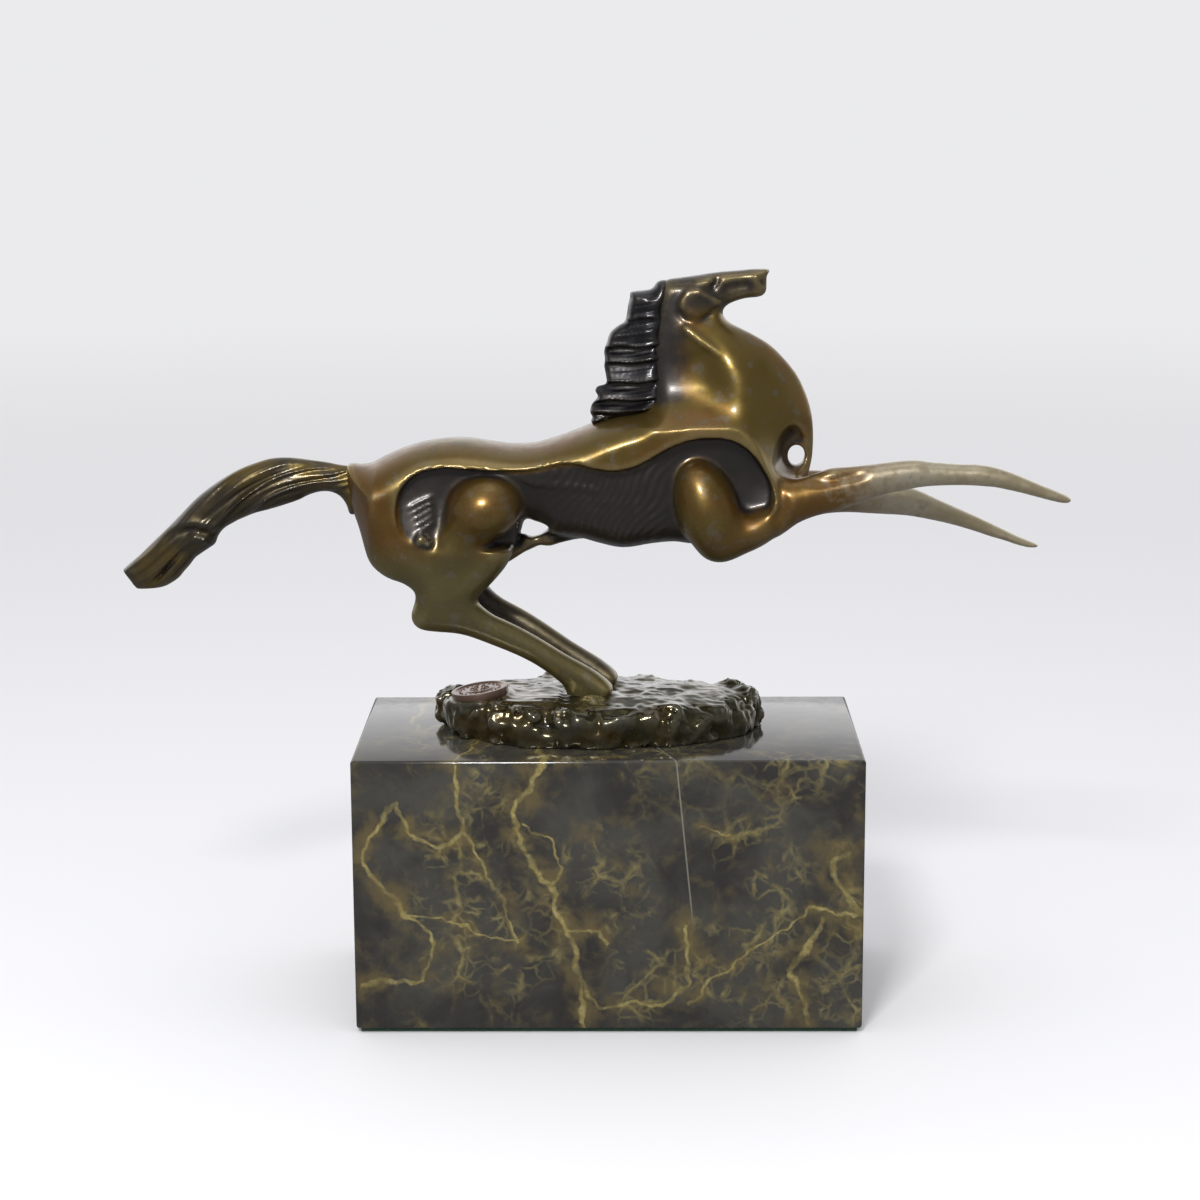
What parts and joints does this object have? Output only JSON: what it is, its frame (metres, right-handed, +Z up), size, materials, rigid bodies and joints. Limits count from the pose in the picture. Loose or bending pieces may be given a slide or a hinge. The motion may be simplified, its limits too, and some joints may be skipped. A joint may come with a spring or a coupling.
{
  "type": "horse statue",
  "caption": "Bronze sculpture of a galloping horse resting on its hind hooves on a rough ground casting, bolted to a polished marble block.",
  "frame": {"origin": "centre of the felt's underside, on the surface that the statue stands on", "axes": "+X the way the horse runs, +Y towards the horse's left side, +Z up"},
  "size_m": [0.3216, 0.09, 0.2523],
  "materials": {
    "bronze": "satin brown patina, worn paler on edges",
    "dark_bronze": "dark brown-green patina, rough",
    "seal_copper": "worn copper red",
    "marble": "polished, ochre veins",
    "steel": "zinc plated",
    "felt": "pressed felt"
  },
  "bodies": {
    "root": {"marble_base": "marble", "felt_pad": "felt", "ground_casting": "dark_bronze", "foundry_seal": "seal_copper", "mounting_studs": "steel", "stud_washers": "steel", "stud_nuts": "steel", "hoof_screws": "steel", "torso_casting": "bronze", "neck_and_head": "bronze", "mane_casting": "dark_bronze", "tail_casting": "bronze", "right_foreleg": "bronze", "left_foreleg": "bronze", "right_hind_leg": "bronze", "left_hind_leg": "bronze", "tail_pin": "steel", "neck_pins": "steel", "foreleg_pins": "steel", "hip_pins": "steel"}
  },
  "joints": []
}
